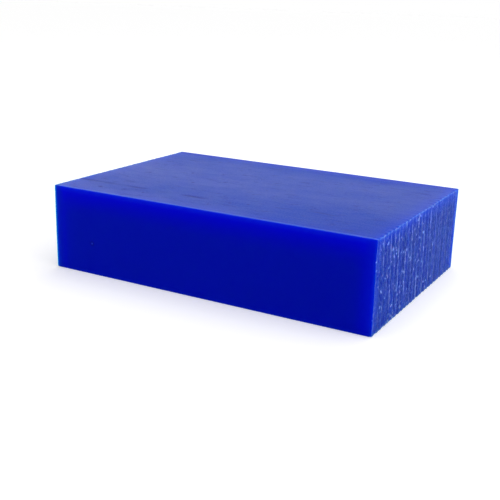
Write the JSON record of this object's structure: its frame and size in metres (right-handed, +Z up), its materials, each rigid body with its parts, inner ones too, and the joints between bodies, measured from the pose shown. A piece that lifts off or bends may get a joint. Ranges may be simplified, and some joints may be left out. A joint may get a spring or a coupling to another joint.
{
  "type": "carving wax block",
  "caption": "Solid rectangular block of hard blue carving wax with smooth moulded long faces and upright saw ridges across both ends, to be sawn, filed or milled into models.",
  "frame": {"origin": "middle of the underside, on the surface the block lies on", "axes": "+X along the moulded bar to the sawn end, +Y across the bar to the back face, +Z up from the face it lies on"},
  "size_m": [0.14, 0.093, 0.035],
  "materials": {
    "hard_wax": "satin hard wax, deep blue and slightly translucent"
  },
  "bodies": {
    "root": {"wax_block": "hard_wax"}
  },
  "joints": []
}
